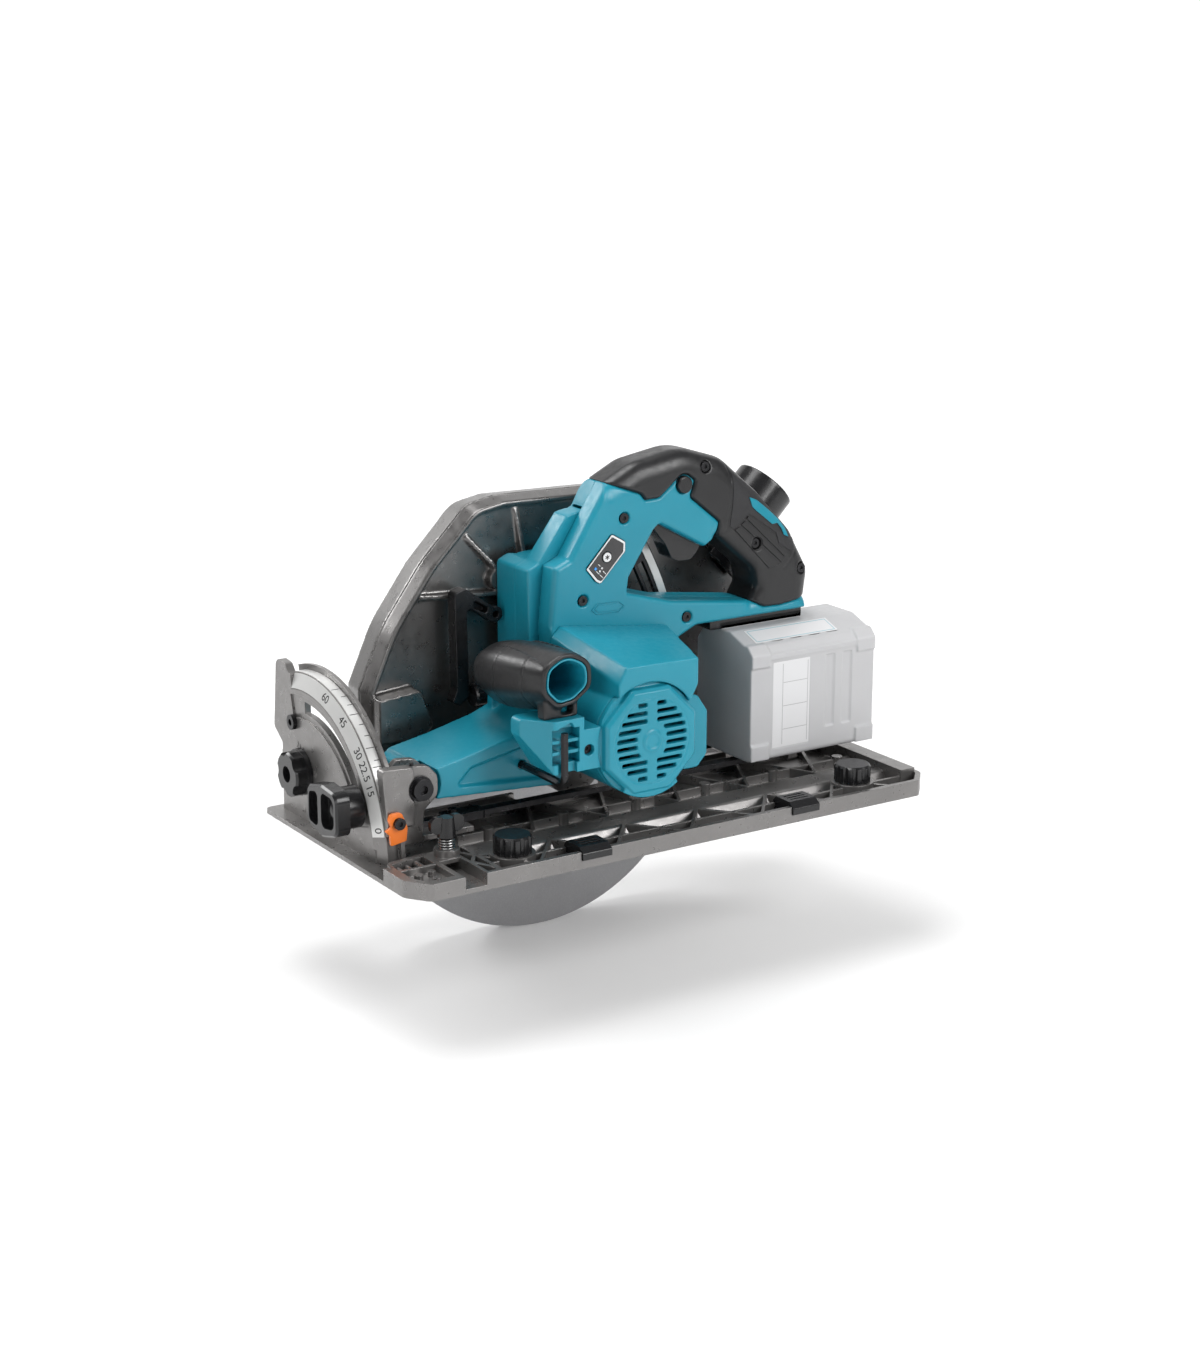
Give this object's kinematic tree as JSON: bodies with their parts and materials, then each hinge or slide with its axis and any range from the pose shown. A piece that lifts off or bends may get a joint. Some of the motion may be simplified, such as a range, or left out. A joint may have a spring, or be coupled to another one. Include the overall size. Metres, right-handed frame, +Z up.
{
  "type": "circular saw",
  "caption": "Large cordless rail-base circular saw with tilting base, depth pivot, sprung lower guard, folding hook and slide-on battery.",
  "frame": {"origin": "under the blade spindle, on the sole plane, at the middle of the base's width", "axes": "-X towards the front of the saw, +X to the rear, -Y the motor side, +Y the blade side, +Z up from the sole"},
  "size_m": [0.453, 0.2343, 0.3697],
  "materials": {
    "base_casting": "cast, satin",
    "scale_strip": "satin",
    "steel": "zinc plated",
    "dark_steel": "black oxide",
    "black_plastic": "semi gloss",
    "case_casting": "painted, satin",
    "guard_sheet": "satin",
    "housing_plastic": "fine texture",
    "grip_rubber": "soft touch",
    "pointer_plastic": "gloss",
    "battery_plastic": "pale, fine texture",
    "blade_steel": "ground",
    "copper_core": "wound wire and sheet",
    "panel_plastic": "gloss"
  },
  "bodies": {
    "base": {"base_plate": "base_casting", "bevel_quadrant": "base_casting", "bevel_scale": "scale_strip", "rear_quadrant": "base_casting", "quadrant_screws": "dark_steel", "fence_screw_spring": "steel"},
    "stop_knob": {"stop_knob": "black_plastic"},
    "rail_knob_front": {"rail_knob_front": "black_plastic"},
    "rail_knob_rear": {"rail_knob_rear": "black_plastic"},
    "slide_tab_front": {"slide_tab_front": "black_plastic"},
    "slide_tab_rear": {"slide_tab_rear": "black_plastic"},
    "fence_screw": {"fence_screw": "black_plastic"},
    "tilt_frame": {"front_bracket": "base_casting", "stay_bar": "dark_steel", "rear_bracket": "base_casting", "depth_guide": "dark_steel", "depth_scale": "scale_strip", "pivot_bolt": "dark_steel", "bracket_screws": "dark_steel", "bevel_pointer": "pointer_plastic"},
    "bevel_lever_front": {"bevel_lever_front": "black_plastic"},
    "bevel_lever_rear": {"bevel_lever_rear": "black_plastic"},
    "saw_body": {"blade_case": "case_casting", "case_cover": "case_casting", "housing_screws": "dark_steel", "dust_nozzle": "black_plastic", "gear_housing": "base_casting", "bearing_plate": "base_casting", "bearings": "steel", "motor_housing": "housing_plastic", "motor_end_cover": "housing_plastic", "stator": "copper_core", "front_arm": "housing_plastic", "wrench_holder": "housing_plastic", "grip_core": "housing_plastic", "grip_sleeve": "grip_rubber", "handle_left": "housing_plastic", "handle_right": "housing_plastic", "rear_grip": "grip_rubber", "control_panel": "panel_plastic", "switch_body": "black_plastic", "terminal_block": "black_plastic", "guard_spring": "steel"},
    "hex_wrench": {"hex_wrench": "dark_steel"},
    "hook": {"hook": "dark_steel"},
    "shaft_lock": {"shaft_lock": "black_plastic"},
    "depth_lock_lever": {"depth_lock_lever": "black_plastic"},
    "mode_button": {"mode_button": "black_plastic"},
    "lock_off_button": {"lock_off_button": "black_plastic"},
    "trigger": {"trigger": "black_plastic"},
    "battery": {"battery_case": "battery_plastic"},
    "battery_button": {"battery_button": "black_plastic"},
    "lower_guard": {"lower_guard": "guard_sheet"},
    "rotor": {"rotor": "copper_core", "cooling_fan": "black_plastic"},
    "idler_gear": {"idler_gear": "steel"},
    "blade": {"spindle": "steel", "blade_flanges": "steel", "saw_blade": "blade_steel", "blade_bolt": "dark_steel"}
  },
  "joints": [
    {"name": "bevel_tilt", "type": "hinge", "parent": "base", "child": "tilt_frame", "pos_m": [0, 0.066, 0], "axis": [-1, 0, 0], "range_deg": [0, 60]},
    {"name": "depth_pivot", "type": "hinge", "parent": "tilt_frame", "child": "saw_body", "pos_m": [-0.1605, 0, 0.055], "axis": [0, -1, 0], "range_deg": [0, 28]},
    {"name": "bevel_lock_front", "type": "hinge", "parent": "tilt_frame", "child": "bevel_lever_front", "pos_m": [-0.19, -0.01309, 0.03858], "axis": [1, 0, 0], "range_deg": [0, 40]},
    {"name": "bevel_lock_rear", "type": "hinge", "parent": "tilt_frame", "child": "bevel_lever_rear", "pos_m": [0.18, 0.0266, 0.02275], "axis": [1, 0, 0], "range_deg": [0, 40]},
    {"name": "stop_knob_turn", "type": "hinge", "parent": "base", "child": "stop_knob", "pos_m": [-0.19, 0.073, 0.04], "axis": [-1, 0, 0], "range_deg": [-90, 90]},
    {"name": "rail_knob_front_turn", "type": "hinge", "parent": "base", "child": "rail_knob_front", "pos_m": [-0.112, -0.088, 0.012], "axis": [0, 0, 1], "range_deg": [-150, 150]},
    {"name": "rail_knob_rear_turn", "type": "hinge", "parent": "base", "child": "rail_knob_rear", "pos_m": [0.182, -0.088, 0.012], "axis": [0, 0, 1], "range_deg": [-150, 150]},
    {"name": "slide_tab_front_slide", "type": "slide", "parent": "base", "child": "slide_tab_front", "axis": [0, -1, 0], "range_m": [0, 0.005]},
    {"name": "slide_tab_rear_slide", "type": "slide", "parent": "base", "child": "slide_tab_rear", "axis": [0, -1, 0], "range_m": [0, 0.005]},
    {"name": "fence_screw_turn", "type": "hinge", "parent": "base", "child": "fence_screw", "pos_m": [-0.152, -0.068, 0.02], "axis": [0, 0, 1], "range_deg": [-180, 180]},
    {"name": "hex_wrench_slide", "type": "slide", "parent": "saw_body", "child": "hex_wrench", "axis": [0, -1, 0], "range_m": [0, 0.11]},
    {"name": "hook_fold", "type": "hinge", "parent": "saw_body", "child": "hook", "pos_m": [-0.0535, 0.036, 0.146], "axis": [0, 1, 0], "range_deg": [0, 45]},
    {"name": "shaft_lock_push", "type": "slide", "parent": "saw_body", "child": "shaft_lock", "axis": [1, 0, 0], "range_m": [0, 0.004], "stiffness_N_per_m": 400, "springref_m": -0.004},
    {"name": "depth_lock", "type": "hinge", "parent": "saw_body", "child": "depth_lock_lever", "pos_m": [0.09285, 0, 0.04615], "axis": [0, -1, 0], "range_deg": [0, 40]},
    {"name": "mode_button_push", "type": "slide", "parent": "saw_body", "child": "mode_button", "axis": [0, 1, 0], "range_m": [0, 0.0008], "stiffness_N_per_m": 600, "springref_m": -0.001},
    {"name": "lock_off_slide", "type": "slide", "parent": "saw_body", "child": "lock_off_button", "axis": [0, 1, 0], "range_m": [-0.003, 0.003], "stiffness_N_per_m": 500},
    {"name": "trigger_pull", "type": "hinge", "parent": "saw_body", "child": "trigger", "pos_m": [0.057, 0, 0.209], "axis": [0, -1, 0], "range_deg": [0, 9], "stiffness_Nm_per_rad": 0.6, "springref_deg": -17.19},
    {"name": "battery_slide", "type": "slide", "parent": "saw_body", "child": "battery", "axis": [1, 0, 0], "range_m": [0, 0.08]},
    {"name": "battery_release", "type": "slide", "parent": "battery", "child": "battery_button", "axis": [-1, 0, 0], "range_m": [0, 0.003], "stiffness_N_per_m": 400, "springref_m": -0.003},
    {"name": "guard_swing", "type": "hinge", "parent": "saw_body", "child": "lower_guard", "pos_m": [0, 0.06, 0.033], "axis": [0, -1, 0], "range_deg": [0, 150], "stiffness_Nm_per_rad": 0.15, "springref_deg": -57.3},
    {"name": "blade_spin", "type": "hinge", "parent": "saw_body", "child": "blade", "pos_m": [0, 0.066, 0.033], "axis": [0, 1, 0], "continuous": true},
    {"name": "idler_spin", "type": "hinge", "parent": "saw_body", "child": "idler_gear", "pos_m": [0.01044, 0.03, 0.06112], "axis": [0, 1, 0], "continuous": true},
    {"name": "rotor_spin", "type": "hinge", "parent": "saw_body", "child": "rotor", "pos_m": [-0.008, 0, 0.078], "axis": [0, 1, 0], "continuous": true}
  ],
  "couplings": [
    {"joint": "idler_spin", "follows": "blade_spin", "ratio": -2.4286},
    {"joint": "rotor_spin", "follows": "blade_spin", "ratio": 5.6667}
  ]
}
